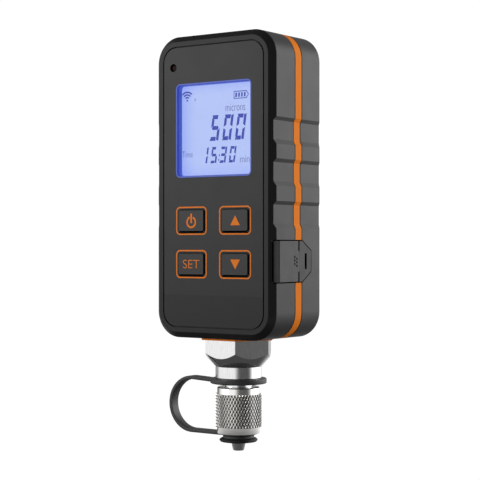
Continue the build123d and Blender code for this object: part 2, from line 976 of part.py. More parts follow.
def flare_gasket():
    low = thread_length / 2 + tail_gap
    high = low + gasket_thickness
    return disc(tail_radius, low, high) - disc(gasket_bore, low, high)


def core_depressor():
    """Pin on a three-armed spider in the fitting's bore."""
    low = thread_length / 2 + tail_gap
    high = low + depressor_length
    rim_low = high - depressor_thickness
    outer = bore_radius - depressor_gap
    spider = disc(outer, rim_low, high) - disc(outer - depressor_rim, rim_low, high)
    pin = disc(depressor_pin, low, high)
    for turn in (0, 120, 240):
        half = depressor_arm_width / 2
        arm = block((0, -half, rim_low), (outer - depressor_rim / 2, half, high))
        pin += Rot(0, 0, turn) * arm
    return spider + pin


def strap_levels():
    """Middle heights of the strap's upper and lower runs."""
    upper = collar_bottom - strap_drop
    eye_bottom = nut_mouth - strap_eye_gap - strap_eye_thickness
    return upper, eye_bottom + strap_eye_gap / 2 + strap_thickness / 2


def tether_strap():
    """Ring on the neck, a flat strap bent half round, and the eye on the plug."""
    upper, lower = strap_levels()
    ring_bottom = collar_bottom - strap_ring_thickness
    eye_top = nut_mouth - strap_eye_gap
    eye_bottom = eye_top - strap_eye_thickness
    bend = -strap_bend_offset
    crown = upper + strap_rise
    route = Line((-strap_ring_radius + 2, upper), (bend, crown))
    route += ThreePointArc((bend, crown), (bend - (crown - lower) / 2, (crown + lower) / 2), (bend, lower))
    route += Line((bend, lower), (-strap_run_end, lower))
    strap = extrude(Plane.XZ * trace(route, strap_thickness), amount=strap_width / 2, both=True)
    strap += disc(strap_ring_radius, ring_bottom, collar_bottom)
    strap += disc(strap_eye_radius, eye_bottom, eye_top)
    half = strap_width / 2
    strap += block((-strap_run_end - 0.5, -half, eye_bottom), (-plug_neck_radius - 1, half, eye_top))
    strap -= disc(neck_radius + strap_ring_gap, ring_bottom, collar_bottom)
    strap -= disc(plug_neck_radius + plug_gap, eye_bottom, eye_top)
    return strap


def dust_plug():
    """Rubber plug: a stem in the nut's mouth, a neck in the strap's eye and a disc below."""
    eye_top = nut_mouth - strap_eye_gap
    eye_bottom = eye_top - strap_eye_thickness
    stem_bottom = eye_top + plug_gap
    stem_top = nut_mouth + plug_stem_height
    disc_top = eye_bottom - plug_gap
    disc_bottom = disc_top - plug_disc_thickness
    shank_top = disc_bottom + stud_shank_length
    points = (
        (0, stem_top),
        (plug_stem_radius - plug_edge, stem_top),
        (plug_stem_radius, stem_top - plug_edge),
        (plug_stem_radius, stem_bottom),
        (plug_neck_radius, stem_bottom),
        (plug_neck_radius, disc_top),
        (plug_disc_radius - plug_edge, disc_top),
        (plug_disc_radius, disc_top - plug_edge),
        (plug_disc_radius, disc_bottom + plug_edge),
        (plug_disc_radius - plug_edge, disc_bottom),
        (stud_shank_radius, disc_bottom),
        (stud_shank_radius, shank_top),
        (0, shank_top),
    )
    return turned(points)


def plug_stud():
    eye_bottom = nut_mouth - strap_eye_gap - strap_eye_thickness
    top = eye_bottom - plug_gap - plug_disc_thickness
    low = top - stud_length
    points = (
        (0, top + stud_shank_length),
        (stud_shank_radius, top + stud_shank_length),
        (stud_shank_radius, top),
        (stud_radius, top),
        (stud_tip_radius, low + stud_edge),
        (stud_tip_radius - stud_edge, low),
        (0, low),
    )
    return turned(points)


parts = {
    "front_shell": front_shell(),
    "back_shell": back_shell(),
    "seam_band": seam_band(),
    "case_screws": case_screws(),
    "face_plate": face_plate(),
    "window_lens": window_lens(),
    "display_bezel": display_bezel(),
    "display_glass": display_plate(glass_front, glass_front + glass_thickness),
    "display_backlight": display_plate(glass_front + glass_thickness, board_front),
    "display_pins": display_pins(),
    "status_lamp": status_lamp(),
    "key_switches": key_switches(),
    "main_board": main_board(),
    "board_screws": board_screws(),
    "board_chips": board_chips(),
    "radio_module": radio_module(),
    "charging_socket": charging_socket(),
    "port_flap": port_flap(),
    "port_cover_anchor": port_cover_anchor(),
    "battery_cell": battery_cell(),
    "battery_tray": battery_tray(),
    "battery_contacts": battery_contacts(),
    "fitting_body": fitting_body(),
    "fitting_pad": fitting_pad(),
    "fitting_washer": fitting_washer(),
    "fitting_locknut": fitting_locknut(),
    "sensor_can": sensor_can(),
    "sensor_seal": sensor_seal(),
    "sensor_retainer": sensor_retainer(),
    "sensor_board": sensor_board(),
    "sensor_flex": sensor_flex(),
    "swivel_nut": swivel_nut(),
    "nut_retaining_ring": nut_retaining_ring(),
    "flare_gasket": flare_gasket(),
    "core_depressor": core_depressor(),
    "tether_strap": tether_strap(),
    "dust_plug": dust_plug(),
    "plug_stud": plug_stud(),
}
for name, x, row in key_places():
    parts[name] = key_cap(x, row)

os.makedirs("parts", exist_ok=True)
for name, solid in parts.items():
    export_step(solid, f"parts/{name}.step")
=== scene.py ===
from math import asin, cos, pi, radians, sin, tan

import bmesh
import bpy
from mathutils import Matrix, Vector


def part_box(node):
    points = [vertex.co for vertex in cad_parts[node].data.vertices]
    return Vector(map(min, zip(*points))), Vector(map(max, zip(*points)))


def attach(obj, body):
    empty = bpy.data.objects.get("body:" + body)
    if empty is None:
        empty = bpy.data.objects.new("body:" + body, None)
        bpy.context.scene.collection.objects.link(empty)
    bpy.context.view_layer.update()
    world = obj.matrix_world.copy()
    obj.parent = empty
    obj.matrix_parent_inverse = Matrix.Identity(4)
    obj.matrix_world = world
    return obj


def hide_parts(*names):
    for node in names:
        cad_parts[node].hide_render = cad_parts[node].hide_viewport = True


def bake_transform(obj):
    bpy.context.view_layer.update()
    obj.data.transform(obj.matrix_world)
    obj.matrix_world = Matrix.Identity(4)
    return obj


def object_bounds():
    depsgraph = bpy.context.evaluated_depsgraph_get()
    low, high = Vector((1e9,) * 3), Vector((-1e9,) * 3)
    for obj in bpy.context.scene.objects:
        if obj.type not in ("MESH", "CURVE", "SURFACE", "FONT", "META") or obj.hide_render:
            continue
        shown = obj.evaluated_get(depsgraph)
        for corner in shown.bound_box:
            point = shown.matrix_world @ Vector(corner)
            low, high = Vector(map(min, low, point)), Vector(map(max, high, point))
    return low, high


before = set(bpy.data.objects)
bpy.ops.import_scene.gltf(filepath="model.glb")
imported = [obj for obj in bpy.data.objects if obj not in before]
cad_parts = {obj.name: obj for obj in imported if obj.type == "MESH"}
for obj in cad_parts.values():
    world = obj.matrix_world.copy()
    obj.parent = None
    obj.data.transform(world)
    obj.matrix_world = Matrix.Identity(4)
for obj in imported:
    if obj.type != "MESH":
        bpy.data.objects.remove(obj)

# Sizes are in millimetres, and a finished mesh is brought to metres.
MM = 0.001
cad_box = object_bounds()

# Camera, level and turned round the fitting's axis towards the charging port
camera_azimuth = 35.32
camera_distance = 537.47
camera_side = 0.56
camera_height = 66.8
camera_lens = 105.27
camera_shift = 0.0082

# Floor under the gauge, which a pipe's port would hold
floor_level = -80.0
floor_half = 350.0

# Knurled swivel nut
nut_mouth_radius = 5.6
nut_mouth_depth = 3.0
nut_end_radius = 6.0
nut_end_taper = 0.85
nut_low_band = 2.45
nut_top_band = 2.55
nut_band_radius = 8.2
nut_neck_bore = 5.33
nut_edge = 0.3
knurl_columns = 45
knurl_row = 2.36
knurl_depth = 0.4
knurl_slope = 0.45
thread_radius = 4.93
thread_root = 5.5
thread_length = 6.5
thread_pitch = 1.27

# Tether strap
strap_ring_radius = 10.8
strap_ring_bore = 5.4
strap_ring_thickness = 2.0
strap_width = 4.2
strap_thickness = 1.4
strap_upper = 14.75
strap_lower = -6.69
strap_bend_x = -21.1
strap_crown = 15.4
strap_run_end = -7.0
strap_eye_radius = 6.0
strap_eye_bore = 3.03
strap_eye_top = -6.33
strap_eye_thickness = 1.1

# Port cover
# cover_line and cover_gap are the widths of the painted shade along the cover's outline and round its pocket.
cover_line = 0.3
cover_gap = 0.33
cover_slit = 3.7
cover_straight = 2.5
cover_back_height = 7.9
dimple_radius = 0.48
dimple_columns = (-1.95, -3.6)
dimple_pitch = 0.66
dimple_count = 6
cover_slope = 0.0897
web_thickness = 0.35
web_reach = 0.7

# Print on the face plate and the keys
print_lift = 0.02
print_thickness = 0.03
band_top = 47.5
ring_width = 14.45
ring_height = 10.65
ring_corner = 1.8
ring_line = 0.52
key_width = 12.2
key_height = 8.4
# Width of the painted shade along each key's right and lower edges.
key_shade = 0.35

# Display
digit_slant = 0.15
ink_lift = 0.02
ink_thickness = 0.02


def ink(code, alpha=1.0):
    """Linear colour of a six-digit display colour."""
    parts = [int(code[n : n + 2], 16) / 255 for n in (0, 2, 4)]
    return tuple(p / 12.92 if p <= 0.04045 else ((p + 0.055) / 1.055) ** 2.4 for p in parts) + (alpha,)


class Field:
    """A shader socket that takes part in sums as a number does."""

    def __init__(self, nodes, socket):
        self.nodes = nodes
        self.socket = socket

    def sum_with(self, operation, first, second):
        return self.nodes.node("ShaderNodeMath", {"operation": operation}, {0: first, 1: second})["Value"]

    def __add__(self, other):
        return self.sum_with("ADD", self, other)

    def __radd__(self, other):
        return self.sum_with("ADD", other, self)

    def __sub__(self, other):
        return self.sum_with("SUBTRACT", self, other)

    def __rsub__(self, other):
        return self.sum_with("SUBTRACT", other, self)

    def __mul__(self, other):
        return self.sum_with("MULTIPLY", self, other)

    def __rmul__(self, other):
        return self.sum_with("MULTIPLY", other, self)

    def __gt__(self, other):
        return self.sum_with("GREATER_THAN", self, other)

    def __lt__(self, other):
        return self.sum_with("LESS_THAN", self, other)

    def __abs__(self):
        return self.sum_with("ABSOLUTE", self, 0.0)


class Nodes:
    """A node tree that is written in plain calls."""

    def __init__(self, tree):
        self.tree = tree

    def node(self, kind, settings=None, inputs=None):
        """Adds a node, sets it, joins its sockets and gives its outputs by name."""
        made = self.tree.nodes.new(kind)
        for name, value in (settings or {}).items():
            if name == "stops":
                self.set_stops(made.color_ramp, value)
            else:
                setattr(made, name, value)
        for name, value in (inputs or {}).items():
            self.join(value, self.socket(made, name))
        return {socket.name: Field(self, socket) for socket in made.outputs if socket.enabled}

    def socket(self, made, name):
        if isinstance(name, int):
            return made.inputs[name]
        return next(socket for socket in made.inputs if socket.enabled and socket.name == name)

    def set_stops(self, ramp, stops):
        while len(ramp.elements) < len(stops):
            ramp.elements.new(0.5)
        for element, (place, colour) in zip(ramp.elements, stops):
            element.position = place
            element.color = colour

    def join(self, value, socket):
        if isinstance(value, Field):
            self.tree.links.new(value.socket, socket)
        else:
            socket.default_value = value

    def step(self, value, low, high):
        """0 below low and 1 above high, smooth between them; low may be the larger."""
        ends = {"Value": value, "From Min": low, "From Max": high}
        return self.node("ShaderNodeMapRange", {"interpolation_type": "SMOOTHSTEP"}, ends)["Result"]

    def mixed(self, share, first, second):
        settings = {"data_type": "RGBA"}
        return self.node("ShaderNodeMix", settings, {"Factor": share, "A": first, "B": second})["Result"]


class Finish(Nodes):
    """A material with one principled shader."""

    def __init__(self, name, **inputs):
        self.material = bpy.data.materials.new(name)
        self.material.use_nodes = True
        super().__init__(self.material.node_tree)
        self.shader = self.tree.nodes["Principled BSDF"]
        self.place = self.node("ShaderNodeTexCoord")["Object"]
        split = self.node("ShaderNodeSeparateXYZ", inputs={"Vector": self.place})
        self.x, self.y, self.z = split["X"], split["Y"], split["Z"]
        self.set(**inputs)

    def set(self, **inputs):
        for name, value in inputs.items():
            self.join(value, self.shader.inputs[name.replace("_", " ")])

    def noise(self, size, detail=2.0, stretch=(1.0, 1.0, 1.0)):
        """Noise whose grains are about size millimetres, longer along a stretched axis."""
        scale = tuple(1 / (size * MM * s) for s in stretch)
        vector = self.node("ShaderNodeMapping", inputs={"Vector": self.place, "Scale": scale})["Vector"]
        return self.node("ShaderNodeTexNoise", inputs={"Vector": vector, "Scale": 1.0, "Detail": detail})["Fac"]

    def paint_shade(self, share):
        """Makes a share of the surface dull black, as painted shade for gaps, deep grooves and shaded edges."""
        sockets = {"Base Color": ink("020202"), "Roughness": 0.9, "Specular IOR Level": 0.0}
        dark = self.node("ShaderNodeBsdfPrincipled", inputs=sockets)["BSDF"]
        plain = Field(self, self.shader.outputs["BSDF"])
        shown = self.node("ShaderNodeMixShader", inputs={0: share, 1: plain, 2: dark})["Shader"]
        self.join(shown, self.tree.nodes["Material Output"].inputs["Surface"])

    def bump(self, height, depth, strength=1.0):
        """Normal for a height field from 0 to 1 that is depth millimetres deep."""
        sockets = {"Height": height, "Distance": depth * MM, "Strength": strength}
        return self.node("ShaderNodeBump", inputs=sockets)["Normal"]


def moulded(name, colour, rough=0.42, grain=0.25, depth=0.004, shade=0.06, specular=0.33):
    """Fine-grained plastic."""
    finish = Finish(name, Specular_IOR_Level=specular)
    patch = finish.noise(9.0, 3.0)
    grains = finish.noise(grain, 2.0)
    dark = tuple(c * (1 - shade) for c in colour[:3]) + (1.0,)
    light = tuple(min(1.0, c * (1 + shade)) for c in colour[:3]) + (1.0,)
    finish.set(Base_Color=finish.mixed(patch, dark, light))
    finish.set(Roughness=rough - 0.05 + 0.1 * patch + 0.06 * (grains - 0.5))
    finish.set(Normal=finish.bump(grains, depth))
    return finish


def rubber(name, colour, rough=0.55):
    finish = Finish(name, Specular_IOR_Level=0.4)
    cloud = finish.noise(4.0, 4.0)
    pores = finish.noise(0.12, 2.0)
    dark = tuple(c * 0.85 for c in colour[:3]) + (1.0,)
    finish.set(Base_Color=finish.mixed(cloud, dark, colour))
    finish.set(Roughness=rough + 0.12 * (cloud - 0.5))
    finish.set(Normal=finish.bump(pores, 0.006))
    return finish


def metal(name, colour, rough=0.2, stretch=(1.0, 1.0, 1.0), size=0.25, depth=0.002, streak=0.12):
    """Machined metal whose tool marks run along the stretched axes."""
    finish = Finish(name, Metallic=1.0)
    marks = finish.noise(size, 3.0, stretch)
    cloud = finish.noise(6.0, 2.0)
    dark = tuple(c * (1 - streak) for c in colour[:3]) + (1.0,)
    finish.set(Base_Color=finish.mixed(0.3 * cloud + 0.7 * finish.step(marks, 0.35, 0.65), dark, colour))
    finish.set(Roughness=rough + 0.1 * (marks - 0.5) + 0.05 * (cloud - 0.5))
    finish.set(Normal=finish.bump(marks, depth))
    return finish


def face_finish():
    """Smooth dark face with a darker printed field across its foot."""
    finish = moulded("face_finish", ink("212122"), rough=0.4, grain=0.18, depth=0.002, shade=0.03, specular=0.28)
    finish.set(Base_Color=finish.mixed(finish.z < band_top * MM, ink("1e1e1f"), ink("0e0e0f")))
    return finish


def key_finish(name, centre):
    """Key with its face grey and painted shade in black along its lower and port-side edges."""
    finish = moulded(name + "_finish", ink("222223"), rough=0.4, grain=0.18, depth=0.002, shade=0.03)
    side = finish.x > (centre.x + key_width / 2 - key_shade) * MM
    under = finish.z < (centre.z - key_height / 2 + key_shade) * MM
    # Painted shade: the key's right and lower edges are turned black.
    finish.paint_shade(side + under - side * under)
    return finish


def in_cover(finish, sides, end):
    """1 within the port cover's outline, with its level sides and its end made larger by some millimetres."""
    low = corners("port_flap")[0]
    high = corners("port_cover_anchor")[1]
    half = (high.z - low.z) / 2
    rise = abs(finish.z - (low.z + half) * MM)
    run = high.y - cover_straight
    fall = half - cover_back_height / 2
    length = (run * run + fall * fall) ** 0.5
    slant = (run / length) * rise + (fall / length) * finish.y
    slant_edge = (run * half + fall * cover_straight) / length
    level = (rise < (half + sides) * MM) * (finish.y < (high.y + end) * MM) * (finish.y > (low.y - 0.3) * MM)
    return level * (slant < (slant_edge + end) * MM) * (finish.x > (low.x - 1.0) * MM)


def cover_finish(name):
    """Rubber of the port cover, with painted shade in black along its outline, in its nail slot and in its slits."""
    finish = rubber(name, ink("18181a"))
    low, high = corners("port_cover_anchor")
    rise = abs(finish.z - (low.z + high.z) / 2 * MM)
    slot = (finish.x < (high.x - 0.05) * MM) * (rise < cover_back_height / 2 * MM) * (finish.y > cover_straight * MM)
    slit = (abs(finish.y - low.y * MM) < cover_line * MM) * (rise > cover_slit * MM)
    plain = in_cover(finish, -cover_line / 3, -cover_line) * (1 - slot) * (1 - slit)
    # Painted shade: everything outside the plain rubber is turned black.
    finish.paint_shade(1 - plain)
    return finish


def case_finish(name, colour, rough=0.42, specular=0.26):
    """Case moulding, with painted shade in black down in the port cover's pocket."""
    finish = moulded(name, colour, rough=rough, specular=specular)
    # Painted shade in the pocket round the port cover.
    finish.paint_shade(in_cover(finish, cover_gap, cover_gap))
    return finish


def lit_display_finish():
    """Backlit panel, bluer towards its left and lower edges."""
    low, high = corners("window_lens")
    finish = Finish("lit_display_finish", Base_Color=(0.02, 0.02, 0.03, 1.0), Roughness=0.6)
    left = finish.step(finish.x, (low.x + 8.0) * MM, (low.x - 1.0) * MM)
    foot = finish.step(finish.z, (low.z + 6.0) * MM, (low.z - 2.0) * MM)
    head = finish.step(finish.z, (high.z - 5.0) * MM, (high.z + 2.0) * MM)
    edge = left * 0.55 + foot * 0.5 + head * 0.5
    cloud = finish.noise(7.0, 2.0)
    glow = finish.mixed(cloud, ink("adbff6"), ink("b3c5f8"))
    finish.set(Emission_Color=finish.mixed(edge, glow, ink("8fa4fb")), Emission_Strength=0.95)
    return finish


def bezel_finish():
    """Blue light guide round the display, deepest in colour near the front, with a painted highlight along its front
    rim.
    """
    low, high = corners("display_bezel")
    finish = Finish("bezel_finish", Roughness=0.4, Emission_Strength=0.8)
    depth = finish.step(finish.y, (low.y + 0.9) * MM, (low.y + 1.3) * MM)
    wall = finish.mixed(depth, ink("1733b0"), ink("2746c4"))
    # Painted highlight: a lighter blue along the very front rim, where the lens edge catches light.
    rim_highlight = finish.y < (low.y + 0.12) * MM
    shown = finish.mixed(rim_highlight, wall, ink("3b52b4"))
    finish.set(Base_Color=(0.01, 0.015, 0.05, 1.0), Emission_Color=shown)
    return finish


def glowing(name, colour, strength=0.95):
    finish = Finish(name, Roughness=0.7, Emission_Strength=strength)
    cloud = finish.noise(1.5, 2.0)
    faded = tuple(c * 1.08 for c in colour[:3]) + (1.0,)
    shown = finish.mixed(cloud, colour, faded)
    finish.set(Base_Color=(0.01, 0.01, 0.02, 1.0), Emission_Color=shown)
    return finish


def clear_finish():
    finish = Finish("clear_window_finish", Roughness=0.04, IOR=1.3, Specular_IOR_Level=0.2)
    film = finish.noise(12.0, 2.0)
    finish.set(Base_Color=finish.mixed(film, ink("c8d4ff"), ink("d4deff")), Alpha=0.03 + 0.02 * film)
    finish.material.surface_render_method = "BLENDED"
    return finish


def board_finish():
    """Solder mask with lighter copper runs under it."""
    finish = Finish("board_finish", Roughness=0.35)
    scaled = finish.node("ShaderNodeMapping", inputs={"Vector": finish.place, "Scale": (420.0, 420.0, 420.0)})
    brick = finish.node("ShaderNodeTexBrick", inputs={"Vector": scaled["Vector"], "Scale": 1.0, "Mortar Size": 0.12})
    finish.set(Base_Color=finish.mixed(brick["Fac"], ink("14532e"), ink("1f7a45")))
    return finish


def corners(node):
    """A CAD node's lowest and highest corners in millimetres."""
    low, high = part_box(node)
    return Vector(low) / MM, Vector(high) / MM


def centre_of(node):
    low, high = corners(node)
    return (low + high) / 2


def close_piece(name, bm, body, finish, sharp=35.0):
    """Turns a mesh in millimetres into a piece that rides on a body."""
    bmesh.ops.scale(bm, vec=(MM, MM, MM), verts=bm.verts)
    mesh = bpy.data.meshes.new(name)
    bm.to_mesh(mesh)
    bm.free()
    mesh.polygons.foreach_set("use_smooth", [True] * len(mesh.polygons))
    mesh.set_sharp_from_angle(angle=radians(sharp))
    mesh.materials.append(finish.material)
    piece = bpy.data.objects.new(name, mesh)
    bpy.context.scene.collection.objects.link(piece)
    if body:
        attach(piece, body)
    return piece


def chain(bm, points):
    """Vertices joined by edges, one after another."""
    verts = [bm.verts.new(p) for p in points]
    edges = [bm.edges.new(pair) for pair in zip(verts, verts[1:])]
    return verts, edges


def spun(bm, points, steps=128, closed=True):
    """Turns (radius, height) points about the fitting's axis."""
    verts, edges = chain(bm, [(r, 0, z) for r, z in points])
    if closed:
        edges.append(bm.edges.new((verts[-1], verts[0])))
    bmesh.ops.spin(
        bm, geom=verts + edges, axis=(0, 0, 1), cent=(0, 0, 0), dvec=(0, 0, 0),
        angle=2 * pi, steps=steps, use_merge=True, use_duplicate=False,
    )
    bmesh.ops.remove_doubles(bm, verts=bm.verts, dist=0.0005)
    bmesh.ops.recalc_face_normals(bm, faces=bm.faces)


def soften(bm, width, angle=30.0, segments=2):
    """Bevels each edge that is sharper than the angle."""
    edges = [e for e in bm.edges if e.is_manifold and e.calc_face_angle(0.0) > radians(angle)]
    bmesh.ops.bevel(
        bm, geom=edges, offset=width, offset_type="OFFSET", segments=segments,
        profile=0.5, affect="EDGES", material=-1, clamp_overlap=True,
    )


def rounded(bm, width, height, radius, segments=8):
    """Flat rounded rectangle, and gives its face."""
    made = bmesh.ops.create_grid(bm, x_segments=1, y_segments=1, size=0.5)
    bmesh.ops.scale(bm, vec=(width, height, 1), verts=made["verts"])
    bmesh.ops.bevel(
        bm, geom=made["verts"], offset=radius, offset_type="OFFSET", segments=segments,
        profile=0.5, affect="VERTICES", material=-1,
    )
    return max(bm.faces, key=lambda face: face.calc_area())


def raise_faces(bm, faces, height):
    """Gives flat faces a thickness."""
    made = bmesh.ops.extrude_face_region(bm, geom=faces)["geom"]
    bmesh.ops.translate(bm, vec=(0, 0, height), verts=[g for g in made if isinstance(g, bmesh.types.BMVert)])
    bmesh.ops.recalc_face_normals(bm, faces=bm.faces)


def facing_front(bm, x, y, z):
    """Stands a flat drawing up so that it faces the front, with its origin at the given place."""
    turn = Matrix.Translation((x, y, z)) @ Matrix.Rotation(pi / 2, 4, "X")
    bmesh.ops.transform(bm, matrix=turn, verts=bm.verts)


def polygon(bm, points):
    return bm.faces.new([bm.verts.new((x, z, 0)) for x, z in points])


def knurled_wall(bm, radius, low, high):
    """Diamond knurl between two heights: a lattice of diamonds, each raised to a small flat top."""
    rows = int((high - low) / knurl_row) + 2
    middle = (low + high) / 2
    valley = radius - knurl_depth
    bmesh.ops.create_grid(bm, x_segments=knurl_columns, y_segments=rows, size=0.5)
    for v in bm.verts:
        turn = 2 * pi * (v.co.x + 0.5)
        v.co = (valley * cos(turn), valley * sin(turn), middle + v.co.y * rows * knurl_row)
    bmesh.ops.remove_doubles(bm, verts=bm.verts, dist=0.001)
    lattice = [e for e in bm.edges if e.is_manifold]
    bmesh.ops.poke(bm, faces=bm.faces, offset=0.0)
    for v in bm.verts:
        scale = valley / v.co.xy.length
        v.co.x *= scale
        v.co.y *= scale
    bmesh.ops.dissolve_edges(bm, edges=lattice, use_verts=False)
    bmesh.ops.recalc_face_normals(bm, faces=bm.faces)
    diamonds = [f for f in bm.faces if len(f.verts) == 4]
    bmesh.ops.inset_individual(bm, faces=diamonds, thickness=knurl_slope, depth=knurl_depth)
    for level, up in ((low, -1), (high, 1)):
        bmesh.ops.bisect_plane(
            bm, geom=bm.verts[:] + bm.edges[:] + bm.faces[:], dist=0.001,
            plane_co=(0, 0, level), plane_no=(0, 0, up), clear_outer=True,
        )
    made = bmesh.ops.extrude_edge_only(bm, edges=[e for e in bm.edges if e.is_boundary])["geom"]
    for v in made:
        if isinstance(v, bmesh.types.BMVert):
            scale = (nut_band_radius - 0.2) / v.co.xy.length
            v.co.x *= scale
            v.co.y *= scale
    bmesh.ops.bridge_loops(bm, edges=[e for e in bm.edges if e.is_boundary])
    bmesh.ops.recalc_face_normals(bm, faces=bm.faces)


def thread_ridge(bm):
    """The thread's ridge, wound up the bore."""
    half = thread_pitch / 2
    turns = int(thread_length / thread_pitch)
    start = -turns * thread_pitch / 2
    profile = ((thread_root + 0.05, -half), (thread_radius, -0.08), (thread_radius, 0.08), (thread_root + 0.05, half))
    verts, edges = chain(bm, [(r, 0, start + z) for r, z in profile])
    edges.append(bm.edges.new((verts[-1], verts[0])))
    bmesh.ops.spin(
        bm, geom=verts + edges, axis=(0, 0, 1), cent=(0, 0, 0), dvec=(0, 0, thread_pitch / 64),
        angle=2 * pi * turns, steps=64 * turns, use_merge=False, use_duplicate=False,
    )
    bmesh.ops.holes_fill(bm, edges=[e for e in bm.edges if e.is_boundary], sides=8)
    bmesh.ops.recalc_face_normals(bm, faces=bm.faces)


def nut_finish(radius):
    """Satin nickel, with painted shade in the knurl's valleys."""
    finish = metal("nut_finish", (0.9, 0.89, 0.86, 1.0), rough=0.2, size=0.12, stretch=(1.0, 1.0, 0.35))
    flat = finish.node("ShaderNodeVectorMath", {"operation": "MULTIPLY"}, {0: finish.place, 1: (1.0, 1.0, 0.0)})
    reach = finish.node("ShaderNodeVectorMath", {"operation": "LENGTH"}, {0: flat["Vector"]})["Value"]
    valley = finish.step(reach, (radius - 0.17) * MM, (radius - 0.38) * MM)
    knurled = (reach > (nut_band_radius + 0.05) * MM) * valley
    # Painted shade: the base colour turns near black down in the knurl's valleys.
    finish.set(Base_Color=finish.mixed(knurled, (0.9, 0.89, 0.86, 1.0), (0.03, 0.03, 0.028, 1.0)))
    return finish


def swivel_nut():
    """Turned nut with its knurl and thread, in place of the plain one."""
    low, high = corners("swivel_nut")
    knurl_low = low.z + nut_end_taper + nut_low_band
    knurl_high = high.z - nut_top_band
    finish = nut_finish(high.x)
    body = bmesh.new()
    spun(body, (
        (nut_mouth_radius, low.z),
        (nut_end_radius, low.z),
        (nut_band_radius, low.z + nut_end_taper),
        (nut_band_radius, high.z - nut_edge),
        (nut_band_radius - nut_edge, high.z),
        (nut_neck_bore, high.z),
        (nut_neck_bore, thread_length / 2),
        (thread_root, thread_length / 2),
        (thread_root, -thread_length / 2),
        (nut_mouth_radius, -thread_length / 2),
    ))
    soften(body, 0.12)
    wall = bmesh.new()
    knurled_wall(wall, high.x, knurl_low, knurl_high)
    ridge = bmesh.new()
    thread_ridge(ridge)
    nut = join_meshes((body, wall, ridge))
    piece = close_piece("knurled_nut", nut, "swivel_nut", finish, sharp=28.0)
    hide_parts("swivel_nut")


def join_meshes(parts):
    """Puts several meshes into one."""
    whole = bmesh.new()
    for part in parts:
        mesh = bpy.data.meshes.new("part")
        part.to_mesh(mesh)
        part.free()
        whole.from_mesh(mesh)
        bpy.data.meshes.remove(mesh)
    return whole


def tether_strap():
    """Ring on the neck, the strap bent half round and the eye on the plug."""
    ring = bmesh.new()
    ring_top = strap_upper + 0.8
    spun(ring, (
        (strap_ring_bore, ring_top - strap_ring_thickness),
        (strap_ring_radius, ring_top - strap_ring_thickness),
        (strap_ring_radius, ring_top),
        (strap_ring_bore, ring_top),
    ))
    soften(ring, 0.45, segments=4)
    eye = bmesh.new()
    spun(eye, (
        (strap_eye_bore, strap_eye_top - strap_eye_thickness),
        (strap_eye_radius, strap_eye_top - strap_eye_thickness),
        (strap_eye_radius, strap_eye_top),
        (strap_eye_bore, strap_eye_top),
    ))
    soften(eye, 0.2)
    strip = bmesh.new()
    radius = (strap_crown - strap_lower) / 2
    middle = (strap_crown + strap_lower) / 2
    steps = 48
    points = [(x, 0, strap_upper + (strap_crown - strap_upper) * (x + 8.8) / (strap_bend_x + 8.8)) for x in (-8.8, -12.0, -16.0)]
    for n in range(steps + 1):
        turn = pi * n / steps
        points.append((strap_bend_x - radius * sin(turn), 0, middle + radius * cos(turn)))
    points += [(x, 0, strap_lower) for x in (-18.0, -14.0, -10.0, strap_run_end + 2.6)]
    _, edges = chain(strip, points)
    bmesh.ops.translate(strip, vec=(0, -strap_width / 2, 0), verts=strip.verts)
    made = bmesh.ops.extrude_edge_only(strip, edges=edges)["geom"]
    bmesh.ops.translate(strip, vec=(0, strap_width, 0), verts=[g for g in made if isinstance(g, bmesh.types.BMVert)])
    bmesh.ops.recalc_face_normals(strip, faces=strip.faces)
    bmesh.ops.solidify(strip, geom=strip.faces[:], thickness=strap_thickness)
    bmesh.ops.recalc_face_normals(strip, faces=strip.faces)
    soften(strip, 0.25, angle=60.0, segments=3)
    whole = join_meshes((ring, strip, eye))
    finish = rubber("strap_finish", ink("383838"), rough=0.45)
    piece = close_piece("tether_strap_moulding", whole, None, finish)
    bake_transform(piece)
    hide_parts("tether_strap")


def hinge_web():
    """Thin web that joins the port cover's flap to its anchor between the two slits."""
    low, high = corners("port_flap")
    bm = bmesh.new()
    bmesh.ops.create_cube(bm, size=1.0)
    height = (high.z - low.z) - 2 * 3.7 - 0.1
    bmesh.ops.scale(bm, vec=(web_thickness, 2 * web_reach, height), verts=bm.verts)
    middle = Vector((high.x - 1.65 - 0.1, high.y, (low.z + high.z) / 2))
    middle.x = corners("port_cover_anchor")[1].x - web_thickness / 2 - 0.02
    bmesh.ops.translate(bm, vec=middle, verts=bm.verts)
    bmesh.ops.subdivide_edges(
        bm, edges=[e for e in bm.edges if abs(e.verts[0].co.y - e.verts[1].co.y) > web_reach], cuts=12
    )
    piece = close_piece("cover_web", bm, None, rubber("web_finish", ink("1d1d1e")))
    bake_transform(piece)


def cover_dimples():
    """Black discs of painted shade in the mouths of the flap's row of dimples."""
    low, high = corners("port_flap")
    hinge = corners("port_cover_anchor")[1]
    bm = bmesh.new()
    for n in range(dimple_count):
        y = dimple_columns[n % 2]
        z = (low.z + high.z) / 2 + (n - (dimple_count - 1) / 2) * dimple_pitch
        place = Matrix.Translation((hinge.x + cover_slope * (high.y - y) + 0.01, y, z))
        tilt = Matrix.Rotation(-cover_slope, 4, "Z") @ Matrix.Rotation(pi / 2, 4, "Y")
        bmesh.ops.create_cone(
            bm, cap_ends=True, segments=20, radius1=dimple_radius, radius2=dimple_radius,
            depth=print_thickness, matrix=place @ tilt,
        )
    finish = moulded("dimple_shade_finish", ink("030303"), rough=0.8, specular=0.0)
    close_piece("cover_dimples", bm, "port_flap", finish)


